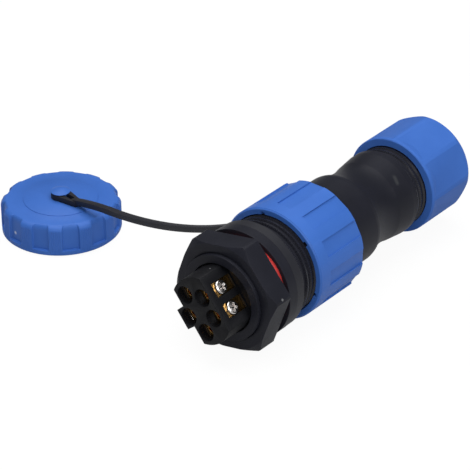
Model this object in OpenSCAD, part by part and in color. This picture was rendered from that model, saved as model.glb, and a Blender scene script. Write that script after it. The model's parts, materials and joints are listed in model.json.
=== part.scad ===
// Circular cable connector: plug mated with a panel receptacle, dust cap on its tether.
// The common axis is X. X = 0 is the rear face of the panel gasket, +X runs to the cable.
// +Y is the side on which the dust cap lies, +Z is up. Millimetres.
// Diameters build up from the contacts outwards: each piece adds its wall to what it holds.

/* [Contacts and terminals] */
// Distance between the two upper contacts
upper_pitch = 7.1; // [6.8:0.1:8]
// Height of the upper contacts over the axis
upper_rise = 3.4; // [3.2:0.1:4]
// Distance between the two side contacts
side_pitch = 13; // [12.6:0.1:15]
// Drop of the side contacts below the axis
side_drop = 2.7; // [2.4:0.1:3]
// Drop of the lowest contact below the axis
low_drop = 6; // [5.8:0.1:6.6]
// Turn of the contact pattern about the axis
insert_roll = 52; // [0:1:90]
// Width of the insulators' rim round the terminals
insert_rim = 1.5; // [1.4:0.1:2.4]
// Length of the towers behind the barrel
tower_out = 9.6; // [8.6:0.2:11]
// Thickness of the towers' end wall
tower_wall = 3; // [2:0.2:4]
// Diameter of the wire holes in the towers' end wall
wire_entry_d = 5.8; // [4.8:0.1:6]
// Width of a brass terminal block
block_w = 4.6; // [4.5:0.1:4.8]
// Height of a brass terminal block
block_h = 4.6; // [4.2:0.1:4.8]
// Length of a brass terminal block
block_len = 10.5; // [9:0.5:12]
// Diameter of the wire hole in a terminal block
wire_d = 2.9; // [2:0.1:3.2]
// Diameter of a terminal screw's head
screw_head_d = 4.5; // [3.6:0.1:4.5]
// Height of a terminal screw's head
screw_head_h = 1.2; // [0.9:0.1:1.6]
// Diameter of a terminal screw's shank
screw_d = 2.4; // [2:0.1:2.6]
// Diameter of a contact pin
pin_d = 2.5; // [2:0.1:2.8]
// Length of a contact pin before the insulator
pin_len = 12; // [9:0.5:14]

/* [Panel receptacle] */
// Wall of the rear barrel
barrel_wall = 2.8; // [2.4:0.1:3.6]
// Length of the rear barrel behind the gasket
barrel_len = 9.2; // [8.6:0.2:14]
// Wall of the front barrel at the root of its thread
front_wall = 1.9; // [1.6:0.1:3]
// Length of the front barrel before the flange
front_len = 25.2; // [22:0.2:30]
// Height of the front barrel's thread
thread_h = 0.8; // [0.5:0.1:1.2]
// Rim of the flange round the front barrel
flange_rim = 2.5; // [2.2:0.1:4]
// Thickness of the flange
flange_t = 3.8; // [2.5:0.1:6]
// Thickness of the panel gasket
gasket_t = 1.5; // [1:0.1:3]
// Rim of the panel gasket round the rear barrel
gasket_rim = 1.85; // [1.6:0.05:2.8]
// Wall of the jam nut at its flats
jam_wall = 3; // [2.4:0.1:4]
// Thickness of the jam nut
jam_t = 8; // [5:0.2:8.4]
// Turn of the jam nut's corners about the axis
jam_roll = 20; // [-30:1:30]

/* [Plug] */
// Wall of the plug shell's nose
nose_wall = 2.15; // [1.8:0.05:3]
// Step from the nose up to the part on which the coupling ring runs
shank_step = 0.8; // [0.6:0.1:1.4]
// Thickness of the plug shell's flange
plug_flange_t = 3.9; // [3:0.1:5]
// Wall of the plug shell's spigot inside the backshell
spigot_wall = 1.25; // [1.1:0.05:2]
// Wall of the coupling ring
ring_side = 2.1; // [1.8:0.1:3]
// Length of the coupling ring
ring_len = 22.5; // [20:0.5:25]
// Thickness of the coupling ring's rear wall
ring_wall = 3.1; // [2:0.1:4]
// Length of the plain band at the front of the coupling ring
ring_band = 5; // [3:0.5:9]
// Thickness of the interface seal
face_seal_t = 1; // [0.6:0.1:1.6]
// Width of the polarising key
key_w = 3; // [2:0.1:4]
// Height of the polarising key
key_h = 1; // [0.6:0.1:1.2]

/* [Backshell and gland] */
// Wall of the backshell's shoulder round the spigot
shoulder_wall = 2.25; // [1.9:0.05:3]
// Radius at which the shoulder rounds into the waist
shoulder_round = 7; // [3:0.5:8]
// Wall of the backshell's waist
waist_wall = 1.55; // [1.2:0.05:2.2]
// Distance from the backshell's front to its waist
waist_pos = 21.4; // [19:0.1:24]
// Length of the backshell's body
backshell_len = 34.8; // [32:0.2:40]
// Radius of the waist's curve towards the coupling ring
waist_front_r = 20; // [14:1:24]
// Length of the taper behind the waist
waist_taper = 11.2; // [8:0.2:12.4]
// Wall of the backshell's rear end
rear_wall = 2.85; // [2.4:0.05:3.4]
// Bore of the gland seal, for the cable
cable_d = 13; // [8:0.5:14]
// Wall of the gland seal
gland_wall = 3.5; // [3:0.1:4.5]
// Length of the gland seal
gland_len = 10.8; // [8:0.2:12]
// Wall of the neck at the root of its thread
neck_wall = 3.2; // [2.4:0.05:4]
// Length of the neck behind the body
neck_len = 18; // [16:0.5:21]
// Length of bare neck between backshell and cable nut
neck_bare = 5.8; // [1:0.2:6.6]
// Wall of the cable nut at its rounded corners
cable_nut_wall = 2.6; // [2.4:0.1:4]
// Depth of the cable nut's flats
cable_nut_flat = 1; // [0.6:0.1:1.2]
// Length of the cable nut
cable_nut_len = 22.8; // [20:0.2:26]
// Turn of the cable nut's corners about the axis
cable_nut_roll = 0; // [-22:1:22]
// Radius of the cable nut's rounded rear edge
cable_nut_round = 3.4; // [1:0.1:4]

/* [Dust cap and tether] */
// Wall of the dust cap
cap_side = 3; // [2.4:0.1:4]
// Height of the dust cap
cap_h = 10.7; // [9:0.1:13]
// Thickness of the dust cap's top
cap_top_t = 2.6; // [2:0.1:3.4]
// Thickness of the dust cap's seal
cap_seal_t = 1.2; // [0.8:0.1:2]
// Place of the dust cap along the connector's axis
cap_x = 18.4; // [8:0.2:24]
// Place of the dust cap to the side of the axis
cap_y = 90.3; // [75:0.5:110]
// Diameter of the button's neck
button_d = 4.4; // [3.6:0.1:5]
// Wall of the eyelet round the button
eyelet_wall = 0.9; // [0.8:0.1:1.4]
// Thickness of the eyelet
eyelet_t = 1.9; // [1.4:0.1:2.4]
// Distance from the button to the tip of the eyelet's tail
eyelet_reach = 9; // [8:0.2:12]
// Width of the tether's ring along the axis
tether_ring_w = 3.3; // [2.8:0.1:4]
// Width of the strap
strap_w = 2.2; // [1.8:0.1:2.4]
// Thickness of the strap
strap_t = 1.8; // [1.4:0.1:2]
// Height of the strap's middle over the dust cap's edge
strap_lift = 5.1; // [4.2:0.1:7]

/* [Grip recesses] */
// Recesses round the coupling ring and round the dust cap
recess_count = 12; // [8:1:14]
// Depth of the coupling ring's recesses
ring_recess_depth = 0.7; // [0.4:0.05:0.9]
// Width of the coupling ring's recesses
ring_recess_w = 5.4; // [4:0.1:6]
// Turn of the coupling ring's recesses about the axis
ring_recess_roll = 2; // [0:1:29]
// Depth of the dust cap's recesses
cap_recess_depth = 1.1; // [0.8:0.05:1.4]
// Width of the dust cap's recesses
cap_recess_w = 5.9; // [4:0.1:6.4]
// Turn of the dust cap's recesses about its own axis
cap_recess_turn = 19.8; // [0:0.2:29]
// Plain band under the dust cap's recesses
cap_band = 1.6; // [1:0.1:4]

/* [Clearances] */
// Gap at the ends and crests of a piece that turns
run_gap = 0.3; // [0.2:0.05:0.35]
// Gap round a piece that is seated
seat_gap = 0.05; // [0.02:0.01:0.08]
// Radial gap of a running or sliding fit
fit_gap = 0.08; // [0.03:0.01:0.1]

/* [Hidden] */
$fn = 96;
blue = [0.26, 0.42, 0.75];
black = [0.16, 0.16, 0.18];
rubber = [0.10, 0.10, 0.11];
red = [0.70, 0.14, 0.14];
brass = [0.80, 0.62, 0.28];
silver = [0.80, 0.81, 0.83];

// Length by which a cut passes the face it opens
over = 1;
// Corner of a plastic edge
edge = 0.5;

// Contacts in the insert's own axes: two above, two at the sides, one below
contact_count = 5;
contact_ys = [upper_pitch / 2, -upper_pitch / 2, -side_pitch / 2, 0, side_pitch / 2];
contact_zs = [upper_rise, upper_rise, -side_drop, -low_drop, -side_drop];

// Diameters of the insulators and of the shells round them
terminal_r = norm([side_pitch / 2 + block_w / 2, side_drop + block_h / 2]);
insert_d = 2 * (terminal_r + insert_rim);
insert_bore_d = insert_d + 2 * seat_gap;
tower_inset = 0.4;
tower_d = insert_d - 2 * tower_inset;
barrel_d = insert_bore_d + 2 * barrel_wall;
nose_d = insert_bore_d + 2 * nose_wall;
front_bore_d = nose_d + 2 * fit_gap;
front_d = front_bore_d + 2 * front_wall;
flange_d = front_d + 2 * flange_rim;
gasket_d = barrel_d + 2 * gasket_rim;
jam_af = barrel_d + 2 * jam_wall;

// Diameters of the pieces that screw or turn on the front barrel
ring_bore_d = front_d + 2 * (thread_h + run_gap);
ring_d = ring_bore_d + 2 * ring_side;
cap_d = ring_bore_d + 2 * cap_side;
tether_ring_inset = 0.1;
tether_ring_d = flange_d - 2 * tether_ring_inset;
plug_flange_gap = 0.5;
plug_flange_d = ring_bore_d - 2 * plug_flange_gap;
plug_shank_d = nose_d + 2 * shank_step;

// Diameters of the backshell, the gland and the cable nut
spigot_d = insert_bore_d + 2 * spigot_wall;
shoulder_d = spigot_d + 2 * (seat_gap + shoulder_wall);
wire_room = 0.15;
wire_space_d = insert_bore_d + 2 * wire_room;
waist_d = wire_space_d + 2 * waist_wall;
rear_d = wire_space_d + 2 * rear_wall;
gland_d = cable_d + 2 * gland_wall;
neck_d = gland_d + 2 * (seat_gap + neck_wall);
thread_room = 0.75;
nut_bore_d = neck_d + 2 * thread_room;
cable_nut_d = nut_bore_d + 2 * cable_nut_wall;
cable_nut_af = cable_nut_d - 2 * cable_nut_flat;

// Stations of the receptacle along X
flange_x0 = gasket_t;
flange_x1 = flange_x0 + flange_t;
barrel_x0 = -barrel_len;
front_x1 = flange_x1 + front_len;
tether_ring_x0 = flange_x1 + run_gap / 2;
tether_ring_x1 = tether_ring_x0 + tether_ring_w;
bead_x0 = tether_ring_x1 + run_gap / 2;
bead_w = 0.8;
bead_h = 0.5;
collar_step = 0.7;
collar_t = 5.5;
collar_x0 = flange_x1 + collar_step;
collar_x1 = collar_x0 + collar_t;
insert_depth = 2.2;
base_x0 = barrel_x0 + insert_depth;

// Stations of the receptacle's terminals
tower_x0 = barrel_x0 - tower_out;
block_x0 = tower_x0 + tower_wall;
block_x1 = block_x0 + block_len;
shank_d = 3.6;
wire_depth = 8;
screw_inset = 3.3;
tower_top_wall = 0.9;
tower_side_wall = 1.1;
tower_low_wall = 1;
low_tower_wall = 1.1;

// Stations of the plug
nose_end_gap = 0.5;
nose_x0 = collar_x1 + nose_end_gap;
seal_gap = 2 * seat_gap;
face_seal_x0 = front_x1 + seal_gap;
plug_flange_x0 = face_seal_x0 + face_seal_t;
plug_flange_x1 = plug_flange_x0 + plug_flange_t;
ring_wall_x0 = plug_flange_x1 + run_gap;
ring_x1 = ring_wall_x0 + ring_wall;
ring_x0 = ring_x1 - ring_len;
backshell_x0 = ring_x1 + run_gap;
spigot_len = 7.8;
spigot_x1 = backshell_x0 + spigot_len;
plug_tower_out = 5;
plug_tower_x1 = spigot_x1 + plug_tower_out;
plug_block_x1 = plug_tower_x1 - tower_wall;
plug_block_x0 = plug_block_x1 - block_len;
plug_base_cover = 2;
plug_base_x1 = plug_block_x0 + plug_base_cover;
insert_recess = 0.2;
socket_d = 4.2;
socket_recess = 0.7;
socket_x0 = nose_x0 + socket_recess;
pin_tip_room = 1.5;
socket_floor_x = collar_x1 + pin_len + pin_tip_room;
socket_floor_t = 1;
socket_x1 = socket_floor_x + socket_floor_t;

// Stations of the backshell and the gland
oring_r = 0.55;
body_x1 = backshell_x0 + backshell_len;
waist_x = backshell_x0 + waist_pos;
wire_space_end = 2;
wire_space_x1 = body_x1 - wire_space_end;
neck_x1 = body_x1 + neck_len;
cable_nut_x0 = body_x1 + neck_bare;
cable_nut_x1 = cable_nut_x0 + cable_nut_len;
gland_proud = 0.8;
gland_x1 = neck_x1 + gland_proud;
gland_x0 = gland_x1 - gland_len;
ledge_t = 2;
cable_room = 3;
ledge_d = cable_d + cable_room;
nut_hole_d = cable_d + cable_room;
washer_t = 1.5;
washer_x1 = gland_x1 + washer_t;
washer_bore_d = cable_d + cable_room / 2;

// Dust cap: its lower rim lies level with the bottom of the coupling ring
floor_z = -ring_d / 2;
cap_top_z = floor_z + cap_h;
cap_edge = 0.6;
disc_h = 0.3;
disc_inset = 4.5;
disc_d = ring_bore_d - 2 * disc_inset;
disc_z = cap_top_z + disc_h;
eyelet_z0 = disc_z + run_gap / 2;
eyelet_z1 = eyelet_z0 + eyelet_t;
head_z0 = eyelet_z1 + run_gap / 2;
head_t = 1.1;
head_lap = 0.1;
eyelet_d = button_d + 2 * (fit_gap + eyelet_wall);
button_head_d = eyelet_d + 2 * head_lap;
cap_seal_land = 1;

// Strap: it leaves the ring along a tangent, sags to a crest before the cap and lands on the eyelet's tail
tangent_angle = 62;
strap_angle = tangent_angle - 90;
strap_root_r = (front_d + tether_ring_d) / 4;
strap_off = 0.25;
strap_x0 = (tether_ring_x0 + tether_ring_x1) / 2 - strap_off;
strap_y0 = strap_root_r * cos(tangent_angle);
strap_z0 = strap_root_r * sin(tangent_angle);
strap_heading = atan2(cap_y - strap_y0, cap_x - strap_x0);
strap_span = norm([cap_x - strap_x0, cap_y - strap_y0]);
crest_out = 5;
land_in = 1.5;
land_up = 0.2;
crest = [strap_span - cap_d / 2 - crest_out, cap_top_z + strap_lift - strap_z0];
landing = [strap_span - eyelet_reach + land_in, eyelet_z0 + eyelet_t / 2 + land_up - strap_z0];
crest_angle = 2 * atan2(crest[1], crest[0]) - strap_angle;

// Round bar along X
module bar(x0, x1, d) {
    translate([x0, 0, 0]) rotate([0, 90, 0]) cylinder(d = d, h = x1 - x0);
}

// Flat ring along X
module ring(x0, x1, d, bore) {
    difference() {
        bar(x0, x1, d);
        bar(x0 - over, x1 + over, bore);
    }
}

// Turned shape about X from an outline drawn with the radius across and X upwards
module turned() {
    rotate([0, 90, 0]) rotate_extrude() children();
}

// Regular prism along X, measured across its flats
module prism(x0, x1, across, sides) {
    translate([x0, 0, 0]) rotate([0, 90, 0])
        cylinder(d = across / cos(180 / sides), h = x1 - x0, $fn = sides);
}

// Flat cuts of width w round X that leave floors at a given distance from the axis
module recesses(x0, x1, floor_r, w, roll) {
    for (i = [0:recess_count - 1])
        rotate([roll + i * 360 / recess_count, 0, 0])
            translate([x0, floor_r, -w / 2])
                cube([x1 - x0, w, w]);
}

// Places a child at a contact, with its screw side towards +Z of the child
module at_contact(i) {
    screw_turn = contact_zs[i - 1] > 0 ? 0 : 180;
    rotate([insert_roll, 0, 0])
        translate([0, contact_ys[i - 1], contact_zs[i - 1]])
            rotate([screw_turn, 0, 0])
                children();
}

// Outline of the towers across the axis: one flat over the upper contacts, a stepped underside
module tower_outline() {
    top = upper_rise + block_h / 2 + tower_top_wall;
    side_bottom = -side_drop - block_h / 2 - tower_side_wall;
    low_bottom = -low_drop - block_h / 2 - tower_low_wall;
    low_w = block_w + 2 * low_tower_wall;
    intersection() {
        circle(d = tower_d);
        union() {
            translate([-tower_d / 2, side_bottom]) square([tower_d, top - side_bottom]);
            translate([-low_w / 2, low_bottom]) square([low_w, -low_bottom]);
        }
    }
}

// Terminal towers from x0 to x1
module towers(x0, x1) {
    rotate([insert_roll, 0, 0]) translate([x0, 0, 0])
        rotate([90, 0, 90]) linear_extrude(x1 - x0) tower_outline();
}

// Room for the terminal blocks, open on the screw side from open_x0 to open_x1
module block_room(x0, x1, open_x0, open_x1) {
    w = block_w + 2 * seat_gap;
    h = block_h + 2 * seat_gap;
    for (i = [1:contact_count]) at_contact(i) {
        translate([x0 - seat_gap, -w / 2, -h / 2]) cube([x1 - x0 + 2 * seat_gap, w, h]);
        translate([open_x0, -w / 2, 0]) cube([open_x1 - open_x0, w, tower_d]);
    }
}

// Round holes at every contact
module contact_holes(x0, x1, d) {
    for (i = [1:contact_count]) at_contact(i) bar(x0, x1, d);
}

// Terminal block with a blind wire hole and a screw hole from its top
module terminal_block(x0, x1, wire_x0, wire_x1, screw_x) {
    difference() {
        translate([x0, -block_w / 2, -block_h / 2]) cube([x1 - x0, block_w, block_h]);
        bar(wire_x0, wire_x1, wire_d);
        translate([screw_x, 0, 0]) cylinder(d = screw_d + 2 * seat_gap, h = block_h);
    }
}

// Clamp screws of one set of terminals, their tips standing in the wire holes
module terminal_screws(screw_x) {
    for (i = [1:contact_count]) at_contact(i) translate([screw_x, 0, 0]) {
        cylinder(d = screw_d, h = block_h / 2 + seat_gap);
        translate([0, 0, block_h / 2 + seat_gap]) domed_head(screw_head_d, screw_head_h);
    }
}

// Low domed head
module domed_head(d, h) {
    intersection() {
        cylinder(d = d, h = h);
        translate([0, 0, h - d]) sphere(r = d);
    }
}

module receptacle_shell() {
    keyway_w = key_w + 2 * fit_gap;
    color(black) difference() {
        union() {
            bar(barrel_x0, flange_x1, barrel_d);
            bar(flange_x0, flange_x1, flange_d);
            bar(flange_x0, front_x1, front_d);
            bar(bead_x0, bead_x0 + bead_w, front_d + 2 * bead_h);
        }
        bar(barrel_x0 - over, collar_x0, insert_bore_d);
        bar(collar_x0, front_x1 + over, front_bore_d);
        translate([collar_x1, -keyway_w / 2, 0])
            cube([front_x1, keyway_w, nose_d / 2 + key_h + run_gap]);
    }
}

module receptacle_insert() {
    color(black) difference() {
        union() {
            towers(tower_x0, base_x0);
            bar(base_x0, collar_x0, insert_d);
            bar(collar_x0, collar_x1, front_bore_d - 2 * seat_gap);
        }
        block_room(block_x0, block_x1, block_x0 - seat_gap, base_x0 - edge);
        contact_holes(tower_x0 - over, block_x0, wire_entry_d);
        contact_holes(block_x1, collar_x1 + over, shank_d + 2 * seat_gap);
    }
}

module pin_contact(i) {
    pin_x1 = collar_x1 + pin_len - pin_d / 2;
    color(brass) at_contact(i) {
        terminal_block(block_x0, block_x1, block_x0 - over, block_x0 + wire_depth, block_x0 + screw_inset);
        bar(block_x1, collar_x1, shank_d);
        bar(collar_x1, pin_x1, pin_d);
        translate([pin_x1, 0, 0]) sphere(d = pin_d);
    }
}

module receptacle_screws() {
    color(silver) terminal_screws(block_x0 + screw_inset);
}

module panel_gasket() {
    color(red) ring(0, gasket_t, gasket_d, barrel_d + 2 * seat_gap);
}

// Hexagonal nut whose corners are turned off at the rear
module jam_nut() {
    corner_cut = 0.25;
    rear_proud = 0.3;
    chamfer_angle = 35;
    corner_r = jam_af / 2 / cos(30) - corner_cut;
    rear_r = jam_af / 2 + rear_proud;
    x1 = -seat_gap;
    x0 = x1 - jam_t;
    color(black) difference() {
        intersection() {
            rotate([jam_roll, 0, 0]) prism(x0, x1, jam_af, 6);
            turned() polygon([
                [0, x0],
                [rear_r, x0],
                [corner_r, x0 + (corner_r - rear_r) * tan(chamfer_angle)],
                [corner_r, x1],
                [0, x1]]);
        }
        bar(x0 - over, over, barrel_d + 2 * fit_gap);
    }
}

// Curved band of the strap's thickness about a centre, between two directions
module strap_band(centre, r, a0, a1) {
    far = 2 * r;
    translate(centre) intersection() {
        difference() {
            circle(r = r + strap_t / 2);
            circle(r = r - strap_t / 2);
        }
        polygon([[0, 0], far * [cos(a0), sin(a0)], far * [cos(a1), sin(a1)]]);
    }
}

// Arc of the strap that leaves p in a given direction and ends at q, less a trim at each end
module strap_arc(p, angle, q, trim0, trim1) {
    bend = atan2(q[1] - p[1], q[0] - p[0]) - angle;
    side = sign(bend);
    r = norm(q - p) / (2 * sin(abs(bend)));
    per_mm = 180 / (PI * r);
    a0 = angle - side * (90 - trim0 * per_mm);
    a1 = angle - side * (90 + trim1 * per_mm) + 2 * bend;
    strap_band(p + side * r * [-sin(angle), cos(angle)], r, min(a0, a1), max(a0, a1));
}

// Side view of the strap: it sags from the ring to the crest and dips from there to the eyelet,
// with a short straight piece at the crest that overlaps both arcs
module strap_outline() {
    straight_len = 3;
    straight_proud = 0.05;
    trim = straight_len / 4;
    strap_arc([0, 0], strap_angle, crest, 0, trim);
    strap_arc(crest, crest_angle, landing, trim, 0);
    translate(crest) rotate(crest_angle)
        square([straight_len, strap_t + 2 * straight_proud], center = true);
}

// Eyelet seen from above, the button at the middle and its slotted tail along +X
module eyelet_outline() {
    blend = 0.15;
    tip_spare = 0.15;
    slot_w = 1.6;
    solid_tail = 2.8;
    root = eyelet_d / 2 - blend;
    tip = strap_w / 2 + tip_spare;
    difference() {
        union() {
            circle(d = eyelet_d);
            polygon([[0, -root], [eyelet_reach, -tip], [eyelet_reach, tip], [0, root]]);
        }
        circle(d = button_d + 2 * fit_gap);
        translate([0, -slot_w / 2]) square([eyelet_reach - solid_tail, slot_w]);
    }
}

module cap_tether() {
    color(rubber) difference() {
        union() {
            bar(tether_ring_x0, tether_ring_x1, tether_ring_d);
            translate([strap_x0, strap_y0, strap_z0]) rotate([90, 0, strap_heading])
                translate([0, 0, -strap_w / 2]) linear_extrude(strap_w) strap_outline();
            translate([cap_x, cap_y, eyelet_z0]) rotate([0, 0, strap_heading + 180])
                linear_extrude(eyelet_t) eyelet_outline();
        }
        bar(tether_ring_x0 - over, tether_ring_x1 + over, front_d + 2 * fit_gap);
    }
}

// Cap drawn upright about Z with its rim at z = 0
module cap_body() {
    difference() {
        union() {
            difference() {
                rotate_extrude() polygon([
                    [0, 0],
                    [cap_d / 2, 0],
                    [cap_d / 2, cap_h - cap_edge],
                    [cap_d / 2 - cap_edge, cap_h],
                    [0, cap_h]]);
                translate([0, 0, cap_band]) rotate([0, -90, 0])
                    recesses(0, cap_h, cap_d / 2 - cap_recess_depth, cap_recess_w, cap_recess_turn);
            }
            cylinder(d = disc_d, h = cap_h + disc_h);
            cylinder(d = button_d, h = head_z0 + head_t / 2 - floor_z);
            translate([0, 0, head_z0 - floor_z]) domed_head(button_head_d, head_t);
        }
        translate([0, 0, -over]) cylinder(d = ring_bore_d, h = cap_h - cap_top_t + over);
    }
}

module dust_cap() {
    color(blue) translate([cap_x, cap_y, floor_z]) cap_body();
}

module cap_seal() {
    translate([cap_x, cap_y, cap_top_z - cap_top_t - cap_seal_t]) color(rubber) difference() {
        cylinder(d = ring_bore_d - 2 * seat_gap, h = cap_seal_t);
        translate([0, 0, -over]) cylinder(d = front_bore_d - 2 * cap_seal_land, h = cap_seal_t + 2 * over);
    }
}

module plug_shell() {
    color(black) difference() {
        union() {
            bar(nose_x0, plug_flange_x1, nose_d);
            bar(plug_flange_x0, plug_flange_x1, plug_flange_d);
            bar(plug_flange_x0, backshell_x0, plug_shank_d);
            bar(plug_flange_x0, spigot_x1, spigot_d);
            translate([nose_x0, -key_w / 2, 0]) cube([face_seal_x0 - nose_x0, key_w, nose_d / 2 + key_h]);
        }
        bar(nose_x0 - over, spigot_x1 + over, insert_bore_d);
    }
}

module plug_insert() {
    color(black) difference() {
        union() {
            bar(nose_x0 + insert_recess, plug_base_x1, insert_d);
            towers(plug_block_x0, plug_tower_x1);
        }
        block_room(plug_block_x0, plug_block_x1, plug_base_x1 + edge, plug_block_x1 + seat_gap);
        contact_holes(plug_block_x1, plug_tower_x1 + over, wire_entry_d);
        contact_holes(nose_x0, socket_x0, pin_d + 2 * run_gap);
        contact_holes(socket_x0 - seat_gap, socket_x1 + seat_gap, socket_d + 2 * seat_gap);
        contact_holes(socket_x1, plug_block_x0, shank_d + 2 * seat_gap);
    }
}

module socket_contact(i) {
    color(brass) at_contact(i) difference() {
        union() {
            bar(socket_x0, socket_x1, socket_d);
            bar(socket_x0, plug_block_x0, shank_d);
            terminal_block(plug_block_x0, plug_block_x1, plug_block_x1 - wire_depth, plug_block_x1 + over,
                plug_block_x1 - screw_inset);
        }
        bar(socket_x0 - over, socket_floor_x, pin_d + 2 * fit_gap);
    }
}

module plug_screws() {
    color(silver) terminal_screws(plug_block_x1 - screw_inset);
}

module interface_seal() {
    color(rubber) ring(face_seal_x0, plug_flange_x0, front_d, nose_d + 2 * seat_gap);
}

module coupling_ring() {
    color(blue) difference() {
        turned() polygon([
            [0, ring_x0],
            [ring_d / 2 - edge, ring_x0],
            [ring_d / 2, ring_x0 + edge],
            [ring_d / 2, ring_x1 - edge],
            [ring_d / 2 - edge, ring_x1],
            [0, ring_x1]]);
        recesses(ring_x0 + ring_band, ring_x1 + over, ring_d / 2 - ring_recess_depth, ring_recess_w,
            ring_recess_roll);
        bar(ring_x0 - over, ring_wall_x0, ring_bore_d);
        bar(ring_wall_x0 - over, ring_x1 + over, plug_shank_d + 2 * fit_gap);
    }
}

// Half outline of the backshell's body: a shoulder that rounds into a waist, then a taper to the rear end,
// each curve running into the next by a small lap
module backshell_outline() {
    curve_lap = 0.02;
    shoulder_r = shoulder_d / 2;
    waist_r = waist_d / 2;
    rear_r = rear_d / 2;
    dip = shoulder_r - waist_r;
    reach_r = waist_front_r + shoulder_round;
    curve_len = sqrt(2 * dip * reach_r - dip * dip);
    round_len = curve_len * shoulder_round / reach_r;
    difference() {
        translate([0, backshell_x0]) square([shoulder_r, backshell_len]);
        translate([0, waist_x]) {
            difference() {
                translate([waist_r, -curve_len]) square([shoulder_r, round_len]);
                translate([shoulder_r + curve_lap - shoulder_round, -curve_len]) circle(r = shoulder_round);
            }
            intersection() {
                translate([waist_r + waist_front_r - curve_lap, 0]) circle(r = waist_front_r);
                translate([0, -curve_len]) square([shoulder_d, curve_len + backshell_len]);
            }
            polygon([
                [waist_r, 0],
                [shoulder_d, 0],
                [shoulder_d, backshell_len],
                [rear_r, backshell_len],
                [rear_r, waist_taper]]);
        }
    }
}

module backshell() {
    oring_room = 2 * oring_r + seat_gap;
    color(black) difference() {
        union() {
            turned() backshell_outline();
            bar(body_x1 - over, neck_x1, neck_d);
        }
        bar(backshell_x0 - over, backshell_x0 + oring_room, spigot_d + 2 * oring_room);
        bar(backshell_x0, spigot_x1 + seat_gap, spigot_d + 2 * seat_gap);
        bar(backshell_x0, wire_space_x1, wire_space_d);
        bar(backshell_x0, gland_x0 - ledge_t, gland_d);
        bar(backshell_x0, neck_x1, ledge_d);
        bar(gland_x0, neck_x1 + over, gland_d + 2 * seat_gap);
    }
}

module backshell_seal() {
    color(rubber) turned()
        translate([spigot_d / 2 + oring_r, backshell_x0 + oring_r]) circle(r = oring_r);
}

module gland_seal() {
    color(rubber) ring(gland_x0, gland_x1, gland_d, cable_d);
}

module gland_washer() {
    color(black) ring(gland_x1, washer_x1, nut_bore_d - 2 * run_gap, washer_bore_d);
}

// Half outline that chamfers the cable nut's front and rounds its rear
module cable_nut_envelope() {
    front_edge = 0.3;
    r = cable_nut_d / 2;
    round_x = cable_nut_x1 - cable_nut_round;
    polygon([
        [0, cable_nut_x0],
        [r - front_edge, cable_nut_x0],
        [r, cable_nut_x0 + front_edge],
        [r, round_x],
        [0, round_x]]);
    translate([0, cable_nut_x0]) square([r - cable_nut_round, cable_nut_len]);
    translate([r - cable_nut_round, round_x]) circle(r = cable_nut_round);
}

// Half outline of the cable nut's round collar, into which the flats run out
module cable_nut_collar() {
    collar_len = 1.2;
    run_out = 3;
    spare = 0.3;
    r = cable_nut_d / 2;
    deep = cable_nut_flat + spare;
    end_x = cable_nut_x0 + collar_len + deep * run_out;
    polygon([
        [0, cable_nut_x0 - over],
        [r + spare, cable_nut_x0 - over],
        [r + spare, cable_nut_x0 + collar_len - spare * run_out],
        [r - deep, end_x],
        [0, end_x]]);
}

module cable_nut() {
    color(blue) difference() {
        intersection() {
            union() {
                rotate([cable_nut_roll, 0, 0])
                    prism(cable_nut_x0 - over, cable_nut_x1 + over, cable_nut_af, 8);
                turned() cable_nut_collar();
            }
            turned() cable_nut_envelope();
        }
        bar(cable_nut_x0 - over, washer_x1 + run_gap, nut_bore_d);
        bar(cable_nut_x0, cable_nut_x1 + over, nut_hole_d);
    }
}

receptacle_shell();
receptacle_insert();
pin_contact(1);  // pin_contact_1
pin_contact(2);  // pin_contact_2
pin_contact(3);  // pin_contact_3
pin_contact(4);  // pin_contact_4
pin_contact(5);  // pin_contact_5
receptacle_screws();
panel_gasket();
jam_nut();
cap_tether();
dust_cap();
cap_seal();
plug_shell();
plug_insert();
socket_contact(1);  // socket_contact_1
socket_contact(2);  // socket_contact_2
socket_contact(3);  // socket_contact_3
socket_contact(4);  // socket_contact_4
socket_contact(5);  // socket_contact_5
plug_screws();
interface_seal();
coupling_ring();
backshell();
backshell_seal();
gland_seal();
gland_washer();
cable_nut();
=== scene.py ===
import json
import math

import bmesh
import bpy
from mathutils import Matrix, Vector

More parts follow.
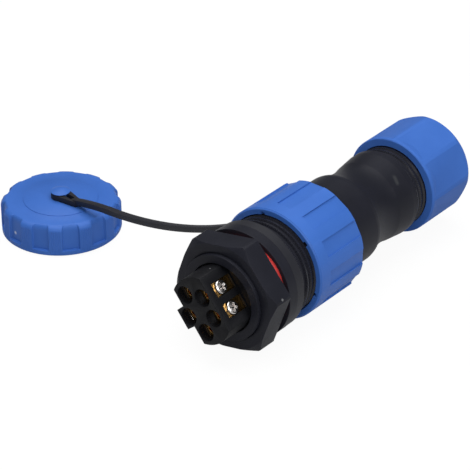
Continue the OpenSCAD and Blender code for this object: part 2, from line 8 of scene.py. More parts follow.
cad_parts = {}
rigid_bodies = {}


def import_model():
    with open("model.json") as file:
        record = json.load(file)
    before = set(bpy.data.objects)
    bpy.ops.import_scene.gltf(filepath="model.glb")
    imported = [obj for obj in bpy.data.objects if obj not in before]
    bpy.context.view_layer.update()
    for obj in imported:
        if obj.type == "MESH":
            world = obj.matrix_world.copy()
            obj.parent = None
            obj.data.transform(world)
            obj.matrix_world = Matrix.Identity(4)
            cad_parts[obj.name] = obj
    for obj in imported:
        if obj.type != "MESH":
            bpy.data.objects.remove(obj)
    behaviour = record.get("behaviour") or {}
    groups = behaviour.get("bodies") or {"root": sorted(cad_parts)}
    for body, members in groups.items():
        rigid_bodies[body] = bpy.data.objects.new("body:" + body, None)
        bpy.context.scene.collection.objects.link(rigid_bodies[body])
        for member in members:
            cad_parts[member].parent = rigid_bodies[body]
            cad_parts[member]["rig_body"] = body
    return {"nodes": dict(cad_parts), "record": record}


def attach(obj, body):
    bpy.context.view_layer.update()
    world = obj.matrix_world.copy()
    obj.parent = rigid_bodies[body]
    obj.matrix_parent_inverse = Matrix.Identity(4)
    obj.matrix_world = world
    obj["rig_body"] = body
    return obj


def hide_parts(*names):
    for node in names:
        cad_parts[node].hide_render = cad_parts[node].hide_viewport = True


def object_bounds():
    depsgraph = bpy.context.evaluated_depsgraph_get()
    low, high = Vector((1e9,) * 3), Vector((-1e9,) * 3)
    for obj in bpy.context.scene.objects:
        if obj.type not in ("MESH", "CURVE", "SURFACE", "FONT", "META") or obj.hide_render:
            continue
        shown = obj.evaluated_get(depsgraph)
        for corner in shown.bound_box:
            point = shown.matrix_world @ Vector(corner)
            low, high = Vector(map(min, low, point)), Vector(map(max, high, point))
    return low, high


MM = 0.001
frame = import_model()
nodes = frame["nodes"]
low_first, high_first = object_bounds()
scene = bpy.context.scene


# Materials

# Noise scales per metre, the bands of the noise that spread the shades, and relief heights in metres
NOISE_ROUGH, LOW_DETAIL, HIGH_DETAIL = 0.55, 2.0, 3.0
DRIFT_BAND, GRAIN_BAND = (0.3, 0.7), (0.2, 0.8)
MOULD_DRIFT, MOULD_GRAIN, MOULD_HEIGHT = 90.0, 2600.0, 0.00005
METAL_DRIFT, METAL_GRAIN, METAL_HEIGHT = 700.0, 3500.0, 0.00004


def new_material(name):
    """Material with one principled shader: the material, its tree and the shader."""
    mat = bpy.data.materials.new(name)
    mat.use_nodes = True
    tree = mat.node_tree
    tree.nodes.clear()
    out = tree.nodes.new("ShaderNodeOutputMaterial")
    bsdf = tree.nodes.new("ShaderNodeBsdfPrincipled")
    tree.links.new(bsdf.outputs["BSDF"], out.inputs["Surface"])
    return mat, tree, bsdf


def noise(tree, scale, detail):
    """Noise that is fixed to the piece."""
    coord = tree.nodes.new("ShaderNodeTexCoord")
    tex = tree.nodes.new("ShaderNodeTexNoise")
    tex.inputs["Scale"].default_value = scale
    tex.inputs["Detail"].default_value = detail
    tex.inputs["Roughness"].default_value = NOISE_ROUGH
    tree.links.new(coord.outputs["Object"], tex.inputs["Vector"])
    return tex.outputs["Fac"]


def ramp(tree, fac, band, ends):
    """Two colours or values, spread over a band of a factor."""
    node = tree.nodes.new("ShaderNodeValToRGB")
    for element, position, value in zip(node.color_ramp.elements, band, ends):
        element.position = position
        element.color = (*value, 1.0) if isinstance(value, tuple) else (value, value, value, 1.0)
    tree.links.new(fac, node.inputs["Fac"])
    return node.outputs["Color"]


def mix(tree, fac, tone, colour):
    """A tone that gives way to a colour where the factor is one."""
    node = tree.nodes.new("ShaderNodeMix")
    node.data_type = "RGBA"
    tree.links.new(fac, node.inputs["Factor"])
    tree.links.new(tone, node.inputs["A"])
    node.inputs["B"].default_value = (*colour, 1.0)
    return node.outputs["Result"]


def bump(tree, bsdf, height, strength, distance):
    """Fine relief on the shader's normal."""
    node = tree.nodes.new("ShaderNodeBump")
    node.inputs["Strength"].default_value = strength
    node.inputs["Distance"].default_value = distance
    tree.links.new(height, node.inputs["Height"])
    tree.links.new(node.outputs["Normal"], bsdf.inputs["Normal"])


def spot(tree, place, size, softness):
    """One inside an egg-shaped spot about a place on the piece, falling to zero at its edge."""
    coord = tree.nodes.new("ShaderNodeTexCoord")
    shift = tree.nodes.new("ShaderNodeVectorMath")
    shift.operation = "SUBTRACT"
    shift.inputs[1].default_value = [c * MM for c in place]
    tree.links.new(coord.outputs["Object"], shift.inputs[0])
    shrink = tree.nodes.new("ShaderNodeVectorMath")
    shrink.operation = "DIVIDE"
    shrink.inputs[1].default_value = [c * MM for c in size]
    tree.links.new(shift.outputs["Vector"], shrink.inputs[0])
    far = tree.nodes.new("ShaderNodeVectorMath")
    far.operation = "LENGTH"
    tree.links.new(shrink.outputs["Vector"], far.inputs[0])
    fall = tree.nodes.new("ShaderNodeMapRange")
    fall.inputs["From Min"].default_value = 1.0
    fall.inputs["From Max"].default_value = 1.0 - softness
    tree.links.new(far.outputs["Value"], fall.inputs["Value"])
    return fall.outputs["Result"]


def moulded(name, shades, rough, grain, specular, marks=()):
    """Moulded plastic or rubber: slow shade drift, a fine grain in the surface and in the gloss."""
    mat, tree, bsdf = new_material(name)
    slow = noise(tree, MOULD_DRIFT, LOW_DETAIL)
    fine = noise(tree, MOULD_GRAIN, LOW_DETAIL)
    tone = ramp(tree, slow, DRIFT_BAND, shades)
    for place, size, softness, colour in marks:
        tone = mix(tree, spot(tree, place, size, softness), tone, colour)
    tree.links.new(tone, bsdf.inputs["Base Color"])
    tree.links.new(ramp(tree, fine, GRAIN_BAND, rough), bsdf.inputs["Roughness"])
    bsdf.inputs["Specular IOR Level"].default_value = specular
    bump(tree, bsdf, fine, grain, MOULD_HEIGHT)
    return mat


def metal(name, shades, rough, grain):
    """Machined or plated metal with faint streaks."""
    mat, tree, bsdf = new_material(name)
    slow = noise(tree, METAL_DRIFT, HIGH_DETAIL)
    fine = noise(tree, METAL_GRAIN, LOW_DETAIL)
    tree.links.new(ramp(tree, slow, DRIFT_BAND, shades), bsdf.inputs["Base Color"])
    tree.links.new(ramp(tree, fine, GRAIN_BAND, rough), bsdf.inputs["Roughness"])
    bsdf.inputs["Metallic"].default_value = 1.0
    bump(tree, bsdf, fine, grain, METAL_HEIGHT)
    return mat


# Shades, each from its darker to its lighter end
BLUE_SHADES = (0.038, 0.126, 0.450), (0.044, 0.138, 0.480)
BLACK_SHADES = (0.0112, 0.0118, 0.0174), (0.0150, 0.0157, 0.0228)
# The insert's black is darker than the other blacks: painted shade for its end face and towers
INSERT_SHADED = (0.0048, 0.0050, 0.0066), (0.0070, 0.0073, 0.0094)
RUBBER_SHADES = (0.0109, 0.0112, 0.0162), (0.0154, 0.0157, 0.0216)
RED_SHADES = (0.40, 0.020, 0.018), (0.48, 0.029, 0.025)
BRASS_SHADES = (0.66, 0.37, 0.11), (0.84, 0.52, 0.18)
STEEL_SHADES = (0.60, 0.57, 0.55), (0.78, 0.75, 0.73)

# Finishes: roughness from and to, strength of the grain and, for plastics, the specular level
BLUE_FINISH = (0.40, 0.50), 0.05, 0.20
GLAND_FINISH = (0.58, 0.70), 0.05, 0.20
BLACK_FINISH = (0.37, 0.47), 0.10, 0.12
THREAD_FINISH = (0.22, 0.32), 0.05, 0.40
INSERT_FINISH = (0.46, 0.58), 0.10, 0.14
RUBBER_FINISH = (0.46, 0.58), 0.15, 0.32
RED_FINISH = (0.45, 0.60), 0.10, 0.50
BRASS_FINISH = (0.14, 0.26), 0.10
STEEL_FINISH = (0.16, 0.28), 0.08

# Marks: place and size in millimetres, softness of the edge, colour
# The middle one of these three colours is a painted highlight
DUST, HIGHLIGHT_GREY, GREY = (0.62, 0.66, 0.74), (0.036, 0.038, 0.042), (0.15, 0.155, 0.16)
TOWER_DOT = (-11.77, 1.99, 11.04), (0.3, 0.3, 0.3), 0.5, GREY
# Darker tone over the tether's ring at the flange, leaving its strap lighter: painted shade
TETHER_RING_SHADE = (7.0, 0.0, 0.0), (12.0, 24.0, 24.0), 0.2, BLACK_SHADES[0]
CAP_DUST = (0.0, 94.1, -14.5), (0.75, 0.75, 0.75), 0.9, DUST
NUT_DOT = (-3.75, -19.4, 4.0), (0.55, 0.55, 0.55), 0.6, GREY
# Lighter smear along the backshell's shoulder: a painted highlight
SHELL_HIGHLIGHT = [
    ((68.3 + 0.36 * t, -9.8 + 1.0 * t, 10.3 + 1.0 * t), (0.9, 0.9, 0.9), 1.0, HIGHLIGHT_GREY)
    for t in (-0.8, -0.4, 0.0, 0.4, 0.8)
]

BLUE = moulded("blue_plastic", BLUE_SHADES, *BLUE_FINISH)
BLACK = moulded("black_plastic", BLACK_SHADES, *BLACK_FINISH)
# The rubber carries the painted shade on the tether's ring
RUBBER = moulded("black_rubber", RUBBER_SHADES, *RUBBER_FINISH, [TETHER_RING_SHADE])
RED = moulded("red_rubber", RED_SHADES, *RED_FINISH)
BRASS = metal("contact_brass", BRASS_SHADES, *BRASS_FINISH)
STEEL = metal("screw_steel", STEEL_SHADES, *STEEL_FINISH)

# The same plastics with the finish, dust, dots, painted shade and painted highlight of single pieces
CAP_BLUE = moulded("cap_plastic", BLUE_SHADES, *BLUE_FINISH, [CAP_DUST])
GLAND_BLUE = moulded("gland_nut_plastic", BLUE_SHADES, *GLAND_FINISH)
# Insert and entry lips in the darker black of painted shade, with a grey dot
INSERT_SHADED_BLACK = moulded("insert_shaded_plastic", INSERT_SHADED, *INSERT_FINISH, [TOWER_DOT])
THREAD_BLACK = moulded("thread_plastic", BLACK_SHADES, *THREAD_FINISH)
NUT_BLACK = moulded("nut_plastic", BLACK_SHADES, *BLACK_FINISH, [NUT_DOT])
# Backshell plastic with the painted highlight on its shoulder
SHELL_BLACK = moulded("backshell_plastic", BLACK_SHADES, *BLACK_FINISH, SHELL_HIGHLIGHT)

LOOK = {
    "black_plastic": BLACK,
    "blue_plastic": BLUE,
    "black_rubber": RUBBER,
    "red_rubber": RED,
    "contact_brass": BRASS,
    "screw_steel": STEEL,
}
SLOT = {}
BODY = {}
for part in frame["record"]["subparts"]:
    mesh = nodes[part["node"]].data
    mesh.materials.clear()
    mesh.materials.append(LOOK[part["material_slot"]])
    SLOT[part["node"]] = part["material_slot"]
    BODY[part["node"]] = nodes[part["node"]]["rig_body"]
nodes["backshell"].data.materials[0] = SHELL_BLACK


# Pieces made here, in millimetres


def place(name, mesh, body, slot, stands_for=(), material=None, crease=30.0):
    """Put a mesh in the scene as a piece of a body, shaded smooth up to a crease."""
    mesh.materials.clear()
    mesh.materials.append(material or LOOK[slot])
    mesh.shade_smooth()
    mesh.set_sharp_from_angle(angle=math.radians(crease))
    obj = bpy.data.objects.new(name, mesh)
    scene.collection.objects.link(obj)
    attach(obj, body)
    if stands_for:
        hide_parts(*stands_for)


def solid(name, verts, faces):
    """Mesh from points in millimetres."""
    mesh = bpy.data.meshes.new(name)
    mesh.from_pydata([Vector(v) * MM for v in verts], [], faces)
    mesh.validate()
    return mesh


def polar(x, r, angle, across=0.0):
    """Point at a radius and an angle about the axis, moved sideways along the rim."""
    c, s = math.cos(math.radians(angle)), math.sin(math.radians(angle))
    return (x, r * c - across * s, r * s + across * c)


def ease(value, start, end):
    """Soft step from zero at the start to one at the end."""
    t = min(1.0, max(0.0, (value - start) / (end - start)))
    return t * t * (3.0 - 2.0 * t)


# CAD nodes with rounded edges

WELD, FLAT_ANGLE = 0.002, 0.4
EDGE_STEPS, WIDE_STEPS = 2, 4
BOX_FACES = ((0, 1, 3, 2), (4, 6, 7, 5), (0, 4, 5, 1), (2, 3, 7, 6), (0, 2, 6, 4), (1, 5, 7, 3))


def boxes(name, corners):
    """Separate boxes, each from its eight corners."""
    verts, faces = [], []
    for eight in corners:
        faces.extend(tuple(len(verts) + i for i in face) for face in BOX_FACES)
        verts.extend(eight)
    return solid(name, verts, faces)


def cut_by(mesh, cutter):
    """The mesh less the boxes of a cutter."""
    pair = [bpy.data.objects.new("blank", mesh), bpy.data.objects.new("cutter", cutter)]
    for obj in pair:
        scene.collection.objects.link(obj)
    step = pair[0].modifiers.new("cut", "BOOLEAN")
    step.operation = "DIFFERENCE"
    step.solver = "EXACT"
    step.object = pair[1]
    graph = bpy.context.evaluated_depsgraph_get()
    result = bpy.data.meshes.new_from_object(pair[0].evaluated_get(graph))
    for obj in pair:
        bpy.data.objects.remove(obj)
    return result


def round_edges(bm, edges, width, segments):
    """Round edges by a width in millimetres."""
    bmesh.ops.bevel(
        bm, geom=edges, offset=width * MM, offset_type="OFFSET", segments=segments, profile=0.5,
        affect="EDGES", clamp_overlap=True)


def softened(node, width, crease=28.0, shade=30.0, material=None, cutter=None, keep=None, wide=None):
    """A CAD node with its outer edges rounded, as a moulding has them.

    Edges sharper than the crease are rounded by the width. keep tells by an edge's middle that it stays
    sharp. wide has such a test and the greater width of the edges that pass it."""
    bm = bmesh.new()
    bm.from_mesh(nodes[node].data)
    bmesh.ops.remove_doubles(bm, verts=bm.verts, dist=WELD * MM)
    bmesh.ops.dissolve_limit(bm, angle_limit=math.radians(FLAT_ANGLE), verts=bm.verts, edges=bm.edges)
    if cutter:
        blank = bpy.data.meshes.new(node + "_blank")
        bm.to_mesh(blank)
        bm.clear()
        bm.from_mesh(cut_by(blank, cutter))

    def outer(chosen):
        return [
            e for e in bm.edges
            if len(e.link_faces) == 2 and e.is_convex and e.calc_face_angle(0.0) > math.radians(crease)
            and chosen((e.verts[0].co + e.verts[1].co) / 2.0)
        ]

    def plain(mid):
        return not (keep and keep(mid)) and not (wide and wide[0](mid))

    if wide:
        round_edges(bm, outer(wide[0]), wide[1], WIDE_STEPS)
    round_edges(bm, outer(plain), width, EDGE_STEPS)
    mesh = bpy.data.meshes.new(node + "_soft")
    bm.to_mesh(mesh)
    bm.free()
    place(node + "_soft", mesh, BODY[node], SLOT[node], (node,), material, shade)


RING_FRONT = 16.4
NOTCH_X = RING_FRONT - 1.0, RING_FRONT + 1.1
NOTCH_R, NOTCH_HALF, NOTCH_COUNT, NOTCH_TURN = (16.2, 17.75), 0.75, 6, 17.4
notches = boxes("ring_notches", [
    [
        polar(x, r, NOTCH_TURN + 360.0 / NOTCH_COUNT * i, w)
        for x in NOTCH_X for r in NOTCH_R for w in (-NOTCH_HALF, NOTCH_HALF)
    ]
    for i in range(NOTCH_COUNT)
])

# Places that pick out edges by their middle: X along the axis and distance from it
NUT_FRONT, NUT_RIM = -0.5, 17.2
GLAND_RIM, GLAND_FROM, GLAND_TO = 16.0, 86.5, 101.0
FLANGE_FRONT, FLANGE_RIM = 5.3, 18.0
TETHER_BACK, TETHER_RIM = 5.45, 19.0
SAME_PLACE = 0.02
CONTACT_COUNT = 5


def off_axis(mid):
    """Distance of an edge's middle from the axis, in millimetres."""
    return math.hypot(mid.y, mid.z) / MM


def nut_front(mid):
    return mid.x > NUT_FRONT * MM


def nut_outside(mid):
    return mid.x < NUT_FRONT * MM and off_axis(mid) > NUT_RIM


def gland_flats(mid):
    return off_axis(mid) > GLAND_RIM and GLAND_FROM < mid.x / MM < GLAND_TO


def flange_front(mid):
    return abs(mid.x / MM - FLANGE_FRONT) < SAME_PLACE and off_axis(mid) > FLANGE_RIM


def tether_back(mid):
    return abs(mid.x / MM - TETHER_BACK) < SAME_PLACE and off_axis(mid) < TETHER_RIM


softened("jam_nut", 0.3, material=NUT_BLACK, keep=nut_front, wide=(nut_outside, 1.0))
softened("coupling_ring", 0.12, shade=12.0, cutter=notches)
softened("cable_nut", 0.2, crease=9.0, shade=14.0, material=GLAND_BLUE, wide=(gland_flats, 1.4))
softened("receptacle_shell", 0.12, shade=12.0, keep=flange_front)
softened("receptacle_insert", 0.12, material=INSERT_SHADED_BLACK)
softened("cap_tether", 0.15, keep=tether_back)
for i in range(CONTACT_COUNT):
    softened("pin_contact_%d" % (i + 1), 0.2)


# Gasket, squeezed out further on one side

GASKET_BORE, GASKET_R, GASKET_T, GASKET_STEPS = 14.52, 16.32, 1.5, 240
GASKET_RIM = (0.0, 0.0), (0.25, 0.08), (0.5, 0.12), (0.75, 0.08), (1.0, 0.0)
SWELL, SWELL_AT, SWELL_SPAN = 0.75, 140.0, 42.0


def gasket_mesh():
    """Flat ring with a bulging rim, given as shares of the thickness and heights of the bulge."""
    verts, faces = [], []
    for k in range(GASKET_STEPS):
        angle = 360.0 * k / GASKET_STEPS
        out = GASKET_R + SWELL * ease(SWELL_SPAN - abs(angle - SWELL_AT), 0.0, SWELL_SPAN)
        verts.append(polar(GASKET_T, GASKET_BORE, angle))
        verts.append(polar(0.0, GASKET_BORE, angle))
        verts.extend(polar(GASKET_T * share, out + bulge, angle) for share, bulge in GASKET_RIM)
    count = len(verts) // GASKET_STEPS
    for k in range(GASKET_STEPS):
        a, b = k * count, (k + 1) % GASKET_STEPS * count
        faces.extend((a + i, a + (i + 1) % count, b + (i + 1) % count, b + i) for i in range(count))
    return solid("panel_gasket_soft", verts, faces)


place("panel_gasket_soft", gasket_mesh(), "receptacle", "red_rubber", ("panel_gasket",), crease=50.0)


# Dust cap with rounded shoulders

CAP_X, CAP_Y, CAP_R, CAP_STEPS = 18.4, 90.3, 19.9, 1080
CAP_FLOOR, CAP_TOP, CAP_ROUND, ROUND_STEPS = -19.0, -8.3, 2.2, 10
CAP_BORE, CAP_SEAT, CAP_EDGE = 16.9, -10.9, 0.3
DISC_R, DISC_Z, DISC_EDGE, DISC_LOW = 12.4, -8.0, 0.12, 0.08
NECK_R, BUTTON_R, BUTTON_Z, BUTTON_T, BUTTON_DOME, DOME_STEPS = 2.2, 3.28, -5.8, 1.1, 6.56, 9
BUTTON_EDGE, BUTTON_LOW = 0.15, 0.12
RECESS_COUNT, RECESS_TURN, RECESS_FLOOR, RECESS_HALF, RECESS_FROM = 12, 111.0, 18.8, 2.95, -17.4
RECESS_PITCH = 360.0 / RECESS_COUNT
EASE, EASE_TOP = 0.22, 1.2
SIDE_Z = [CAP_FLOOR + 0.25 * k for k in range(6)]
SIDE_Z += [RECESS_FROM + EASE * k / 4.0 for k in range(5)]
SIDE_Z += [-16.2, -14.5, -12.5, -11.0]


def cap_radius(angle, z, over=0.0):
    """Outer radius of the cap: lands at full radius, flat recesses that run out over the shoulder."""
    off = (angle - RECESS_TURN + RECESS_PITCH / 2.0) % RECESS_PITCH - RECESS_PITCH / 2.0
    across = CAP_R * math.sin(math.radians(abs(off)))
    inward = 1.0 - math.cos(over)
    deep = 1.0 - ease(across, RECESS_HALF - EASE - EASE_TOP * inward, RECESS_HALF)
    deep *= ease(z, RECESS_FROM, RECESS_FROM + EASE)
    land = CAP_R - CAP_ROUND * inward
    flat = min(CAP_R, RECESS_FLOOR / math.cos(math.radians(off)))
    flat -= (flat - CAP_R + CAP_ROUND) * inward
    return land + (flat - land) * deep


def cap_mesh():
    """Rings of points from the seal's seat round the rim and over the top to the button."""
    inside = [(CAP_BORE, CAP_SEAT), (CAP_BORE, CAP_FLOOR + CAP_EDGE), (CAP_BORE + CAP_EDGE, CAP_FLOOR),
              (CAP_R - CAP_EDGE, CAP_FLOOR)]
    lid = [(DISC_R + DISC_EDGE, CAP_TOP), (DISC_R, CAP_TOP + DISC_LOW), (DISC_R, DISC_Z - DISC_LOW),
           (DISC_R - DISC_EDGE, DISC_Z), (NECK_R, DISC_Z), (NECK_R, BUTTON_Z),
           (BUTTON_R - BUTTON_EDGE, BUTTON_Z), (BUTTON_R, BUTTON_Z + BUTTON_LOW)]
    for k in range(DOME_STEPS):
        r = BUTTON_R * (1.0 - k / DOME_STEPS)
        lid.append((r, BUTTON_Z + BUTTON_T - BUTTON_DOME + math.sqrt(BUTTON_DOME * BUTTON_DOME - r * r)))
    angles = [360.0 * k / CAP_STEPS for k in range(CAP_STEPS)]
    rings = [[point] * CAP_STEPS for point in inside]
    for z in SIDE_Z:
        edge = CAP_EDGE * (1.0 - ease(z, CAP_FLOOR - 0.01, CAP_FLOOR + CAP_EDGE))
        rings.append([(cap_radius(a, z) - edge, z) for a in angles])
    for k in range(ROUND_STEPS + 1):
        over = math.radians(90.0 * k / ROUND_STEPS)
        z = CAP_TOP - CAP_ROUND + CAP_ROUND * math.sin(over)
        rings.append([(cap_radius(a, z, over), z) for a in angles])
    rings.extend([point] * CAP_STEPS for point in lid)
    verts, faces = [], []
    for ring in rings:
        for a, (r, z) in zip(angles, ring):
            c, s = math.cos(math.radians(a)), math.sin(math.radians(a))
            verts.append((CAP_X + r * c, CAP_Y + r * s, z))
    for j in range(len(rings) - 1):
        a, b = j * CAP_STEPS, (j + 1) * CAP_STEPS
        for k in range(CAP_STEPS):
            n = (k + 1) % CAP_STEPS
            faces.append((a + k, a + n, b + n, b + k))
    last, seat_middle, button_middle = (len(rings) - 1) * CAP_STEPS, len(verts), len(verts) + 1
    verts.append((CAP_X, CAP_Y, CAP_SEAT))
    verts.append((CAP_X, CAP_Y, BUTTON_Z + BUTTON_T))
    for k in range(CAP_STEPS):
        n = (k + 1) % CAP_STEPS
        faces.append((seat_middle, n, k))
        faces.append((last + k, last + n, button_middle))
    return solid("dust_cap_soft", verts, faces)


place("dust_cap_soft", cap_mesh(), "cap", "blue_plastic", ("dust_cap",), CAP_BLUE, 42.0)


# Fine ribs on the lands of the dust cap

RIBS_ON_LAND, RIB_STEP, RIB_Z = 6, 1.8, (-18.5, -10.0)
RIB_SECTION = (CAP_R - 0.08, -0.2), (CAP_R + 0.09, 0.0), (CAP_R - 0.08, 0.2)
RIB_FACES = (0, 2, 1), (3, 4, 5), (0, 1, 4, 3), (1, 2, 5, 4), (2, 0, 3, 5)
rib_verts, rib_faces = [], []
for land in range(RECESS_COUNT):
    for k in range(RIBS_ON_LAND):
        turn = RECESS_TURN + RECESS_PITCH / 2.0 + RECESS_PITCH * land + RIB_STEP * (k - (RIBS_ON_LAND - 1) / 2.0)
        c, s = math.cos(math.radians(turn)), math.sin(math.radians(turn))
        rib_faces.extend(tuple(len(rib_verts) + i for i in face) for face in RIB_FACES)
        rib_verts.extend(
            (CAP_X + r * c - w * s, CAP_Y + r * s + w * c, z) for z in RIB_Z for r, w in RIB_SECTION)
place("cap_ribs", solid("cap_ribs", rib_verts, rib_faces), "cap", "blue_plastic")


# Threads

PITCH, BASE_W, CREST_W, SUNK = 2.0, 1.2, 0.4, 0.05
TURN_STEPS, FADE_STEPS = 72, 36.0
FRONT_START, FRONT_PHASE, RING_START = 10.4, 0.2, 17.4
RING_PHASE = FRONT_PHASE + (RING_START - FRONT_START) / PITCH + 0.5
AXIS = Matrix.Identity(4)
CAP_AXIS = Matrix.Translation((CAP_X, CAP_Y, 0.0)) @ Matrix.Rotation(math.radians(-90.0), 4, "Y")


def thread(name, axis, root, crest, start, end, phase, body, slot, material=None):
    """Right-handed ridge about the X of an axis; the crest lies inside or outside of the root."""
    outward = crest > root
    sunk = root - math.copysign(SUNK, crest - root)
    count = int(TURN_STEPS * (end - start) / PITCH)
    verts, faces = [], []
    for i in range(count + 1):
        turn = 2.0 * math.pi * (i / TURN_STEPS + phase)
        x = start + PITCH * i / TURN_STEPS
        peak = root + (crest - root) * min(1.0, i / FADE_STEPS, (count - i) / FADE_STEPS)
        section = (-BASE_W / 2, sunk), (-CREST_W / 2, peak), (CREST_W / 2, peak), (BASE_W / 2, sunk)
        for dx, r in section:
            verts.append(axis @ Vector((x + dx, r * math.cos(turn), r * math.sin(turn))))
        if i:
            a, b = 4 * (i - 1), 4 * i
            for k in range(4):
                n = (k + 1) % 4
                faces.append((a + k, a + n, b + n, b + k) if outward else (a + k, b + k, b + n, a + n))
    last = 4 * count
    faces.append((0, 3, 2, 1) if outward else (0, 1, 2, 3))
    faces.append((last, last + 1, last + 2, last + 3) if outward else (last, last + 3, last + 2, last + 1))
    place(name, solid(name, verts, faces), body, slot, material=material, crease=40.0)


thread("front_thread", AXIS, root=15.8, crest=16.55, start=FRONT_START, end=29.6, phase=FRONT_PHASE,
       body="receptacle", slot="black_plastic", material=THREAD_BLACK)
thread("ring_thread", AXIS, root=16.9, crest=16.25, start=RING_START, end=30.4, phase=RING_PHASE,
       body="coupling", slot="blue_plastic")
thread("neck_thread", AXIS, root=13.25, crest=13.8, start=74.6, end=91.4, phase=0.0,
       body="plug", slot="black_plastic", material=THREAD_BLACK)
thread("cap_thread", CAP_AXIS, root=CAP_BORE, crest=16.3, start=-17.6, end=-12.6, phase=0.0,
       body="cap", slot="blue_plastic")


# Terminal screws with cross recesses, and the flat sides of the wire entries

CONTACTS = (3.55, 3.4), (-3.55, 3.4), (-6.5, -2.7), (0.0, -6.0), (6.5, -2.7)
CROSS_TURN = 20.0, 64.0, 35.0, 10.0, 78.0
INSERT_ROLL = Matrix.Rotation(math.radians(52.0), 4, "X")
SCREW_X, SCREW_SEAT = -12.5, 2.35
HEAD_R, HEAD_T, HEAD_DOME, HEAD_EDGE, SHANK_R = 2.25, 1.2, 9.0, 0.4, 1.2
HEAD_RINGS, HEAD_SPOKES = 36, 72
CROSS_HALF_W, CROSS_HALF_L, CROSS_SLOPE_W, CROSS_SLOPE_L, CROSS_DEPTH = 0.36, 1.45, 0.12, 0.55, 0.72
LIP_X, LIP_R, LIP_STEPS = (-16.4, -15.86), 2.93, 16


def cross_depth(x, y):
    """Depth of the driver's cross at a place on the head."""
    best = 0.0
    for u, v in ((x, y), (y, x)):
        side = min(1.0, max(0.0, (CROSS_HALF_W - abs(v)) / CROSS_SLOPE_W))
        tip = min(1.0, max(0.0, (CROSS_HALF_L - abs(u)) / CROSS_SLOPE_L))
        best = max(best, side * tip)
    return CROSS_DEPTH * best


def screw_mesh(verts, faces, at):
    """Screw with a low domed head on its seat, added to the points and faces so far."""
    turns = [2.0 * math.pi * k / HEAD_SPOKES for k in range(HEAD_SPOKES)]
    first = len(verts)
    verts.append(at @ Vector((0.0, 0.0, HEAD_T - cross_depth(0.0, 0.0))))
    rows = []
    for i in range(1, HEAD_RINGS + 1):
        r = HEAD_R * i / HEAD_RINGS
        out = max(0.0, r - HEAD_R + HEAD_EDGE)
        row = []
        for t in turns:
            x, y = r * math.cos(t), r * math.sin(t)
            z = HEAD_T - HEAD_DOME + math.sqrt(HEAD_DOME * HEAD_DOME - r * r) - cross_depth(x, y)
            z -= HEAD_EDGE - math.sqrt(HEAD_EDGE * HEAD_EDGE - out * out)
            row.append((x, y, z))
        rows.append(row)
    for r, z in ((HEAD_R, 0.0), (SHANK_R, 0.0), (SHANK_R, -SCREW_SEAT)):
        rows.append([(r * math.cos(t), r * math.sin(t), z) for t in turns])
    for row in rows:
        verts.extend(at @ Vector(p) for p in row)
    for k in range(HEAD_SPOKES):
        n = (k + 1) % HEAD_SPOKES
        faces.append((first, first + 1 + k, first + 1 + n))
        for j in range(len(rows) - 1):
            a, b = first + 1 + j * HEAD_SPOKES, first + 1 + (j + 1) * HEAD_SPOKES
            faces.append((a + k, b + k, b + n, a + n))
    last = first + 1 + (len(rows) - 1) * HEAD_SPOKES
    faces.append(tuple(last + k for k in reversed(range(HEAD_SPOKES))))


def lip_mesh(verts, faces, at):
    """Flat side of a wire entry, level with the top of the block, added to the points and faces so far."""
    reach = math.acos(SCREW_SEAT / LIP_R)
    first, count = len(verts), LIP_STEPS + 1
    for x in LIP_X:
        for k in range(count):
            a = reach * (2.0 * k / LIP_STEPS - 1.0)
            verts.append(at @ Vector((x, LIP_R * math.sin(a), LIP_R * math.cos(a))))
    faces.append(tuple(first + k for k in range(count)))
    faces.append(tuple(first + count + k for k in reversed(range(count))))
    for k in range(count):
        n = (k + 1) % count
        faces.append((first + k, first + count + k, first + count + n, first + n))


screw_verts, screw_faces = [], []
lip_verts, lip_faces = [], []
for (y, z), turn in zip(CONTACTS, CROSS_TURN):
    side = 0.0 if z > 0 else math.pi
    block = INSERT_ROLL @ Matrix.Translation((0.0, y, z)) @ Matrix.Rotation(side, 4, "X")
    seat = Matrix.Translation((SCREW_X, 0.0, SCREW_SEAT)) @ Matrix.Rotation(math.radians(turn), 4, "Z")
    screw_mesh(screw_verts, screw_faces, block @ seat)
    lip_mesh(lip_verts, lip_faces, block)
place("entry_lips", solid("entry_lips", lip_verts, lip_faces), "receptacle", "black_plastic",
      material=INSERT_SHADED_BLACK)
place("terminal_screws", solid("terminal_screws", screw_verts, screw_faces), "receptacle", "screw_steel",
      ("receptacle_screws",), crease=25.0)


# Camera at the photo's angle

AZIMUTH, ELEVATION, ROLL = math.radians(-51.2579), math.radians(30.1994), math.radians(-0.564)
DISTANCE, TARGET_X, TARGET_RIGHT, TARGET_UP = 0.8109063, 0.0214, -0.0146769, 0.0071802
SENSOR, FOCAL_PIXELS, PICTURE_PIXELS = 36.0, 2600.0, 470.0

back = Vector((
    math.sin(AZIMUTH) * math.cos(ELEVATION),
    -math.cos(AZIMUTH) * math.cos(ELEVATION),
    math.sin(ELEVATION),
))
right = Vector((math.cos(AZIMUTH), math.sin(AZIMUTH), 0.0))
up = back.cross(right)
target = Vector((TARGET_X, 0.0, 0.0)) + right * TARGET_RIGHT + up * TARGET_UP
right_rolled = right * math.cos(ROLL) + up * math.sin(ROLL)
up_rolled = up * math.cos(ROLL) - right * math.sin(ROLL)
cam = bpy.data.cameras.new("camera")
cam.sensor_width = SENSOR
cam.lens = SENSOR * FOCAL_PIXELS / PICTURE_PIXELS
cam.clip_start, cam.clip_end = 0.05, 20.0
cam_obj = bpy.data.objects.new("camera", cam)
scene.collection.objects.link(cam_obj)
basis = Matrix((right_rolled, up_rolled, back)).transposed().to_4x4()
cam_obj.matrix_world = Matrix.Translation(target + back * DISTANCE) @ basis
scene.camera = cam_obj


# White table and light

FLOOR_HALF, FLOOR_GAP, FLOOR_DRIFT = 6.0, 0.0002, 8.0
FLOOR_SHADES, FLOOR_ROUGH, FLOOR_SPECULAR = (0.45, 0.47), 0.9, 0.1
FLOOR_WHITE, WORLD_LIGHT = 1.10, 0.13
CAMERA_SHARE, MIRROR_SHARE = 0.85, 0.35

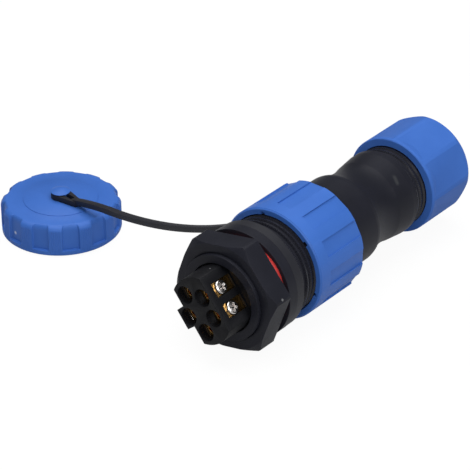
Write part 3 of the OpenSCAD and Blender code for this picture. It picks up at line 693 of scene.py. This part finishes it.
floor_mat, floor_tree, floor_bsdf = new_material("white_table")
floor_tone = ramp(floor_tree, noise(floor_tree, FLOOR_DRIFT, HIGH_DETAIL), DRIFT_BAND, FLOOR_SHADES)
floor_tree.links.new(floor_tone, floor_bsdf.inputs["Base Color"])
floor_bsdf.inputs["Roughness"].default_value = FLOOR_ROUGH
floor_bsdf.inputs["Specular IOR Level"].default_value = FLOOR_SPECULAR
glow = floor_tree.nodes.new("ShaderNodeEmission")
glow.inputs["Strength"].default_value = FLOOR_WHITE
path = floor_tree.nodes.new("ShaderNodeLightPath")


def ray_share(ray, share, rest=None):
    """A share of the white for one kind of ray, added to the rest."""
    node = floor_tree.nodes.new("ShaderNodeMath")
    node.operation = "MULTIPLY_ADD"
    node.inputs[1].default_value = share
    node.inputs[2].default_value = 0.0
    floor_tree.links.new(path.outputs[ray], node.inputs[0])
    if rest:
        floor_tree.links.new(rest, node.inputs[2])
    return node.outputs["Value"]


shown = ray_share("Is Camera Ray", CAMERA_SHARE)
shown = ray_share("Is Glossy Ray", MIRROR_SHARE, shown)
shown = ray_share("Is Transmission Ray", MIRROR_SHARE, shown)
seen = floor_tree.nodes.new("ShaderNodeMixShader")
floor_tree.links.new(shown, seen.inputs["Fac"])
floor_tree.links.new(floor_bsdf.outputs["BSDF"], seen.inputs[1])
floor_tree.links.new(glow.outputs["Emission"], seen.inputs[2])
floor_out = next(n for n in floor_tree.nodes if n.bl_idname == "ShaderNodeOutputMaterial")
floor_tree.links.new(seen.outputs["Shader"], floor_out.inputs["Surface"])
floor_mesh = bpy.data.meshes.new("table")
floor_mesh.from_pydata(
    [(FLOOR_HALF * x, FLOOR_HALF * y, 0) for x, y in ((-1, -1), (1, -1), (1, 1), (-1, 1))], [], [(0, 1, 2, 3)])
floor_mesh.materials.append(floor_mat)
floor = bpy.data.objects.new("table", floor_mesh)
floor.location = (0, 0, low_first.z - FLOOR_GAP)
scene.collection.objects.link(floor)

world = bpy.data.worlds.new("world")
world.use_nodes = True
background = world.node_tree.nodes["Background"]
background.inputs["Color"].default_value = (1.0, 1.0, 1.0, 1.0)
background.inputs["Strength"].default_value = WORLD_LIGHT
scene.world = world


def area(name, place_at, aim, size, power):
    """Lamp at a place, turned to its aim."""
    lamp = bpy.data.lights.new(name, "AREA")
    lamp.shape = "RECTANGLE"
    lamp.size, lamp.size_y = size
    lamp.energy = power
    obj = bpy.data.objects.new(name, lamp)
    obj.location = place_at
    obj.rotation_euler = (Vector(aim) - Vector(place_at)).to_track_quat("-Z", "Y").to_euler()
    scene.collection.objects.link(obj)


area("overhead", place_at=(0.05, 0.10, 0.75), aim=(0.04, 0.03, 0.0), size=(0.9, 0.9), power=7.4)
area("front", place_at=(-0.55, -0.45, 0.45), aim=(0.04, 0.02, 0.0), size=(0.5, 0.5), power=2.2)
area("side", place_at=(0.04, -0.70, 0.50), aim=(0.04, 0.0, 0.0), size=(0.5, 0.4), power=2.4)

scene.view_settings.view_transform = "Standard"
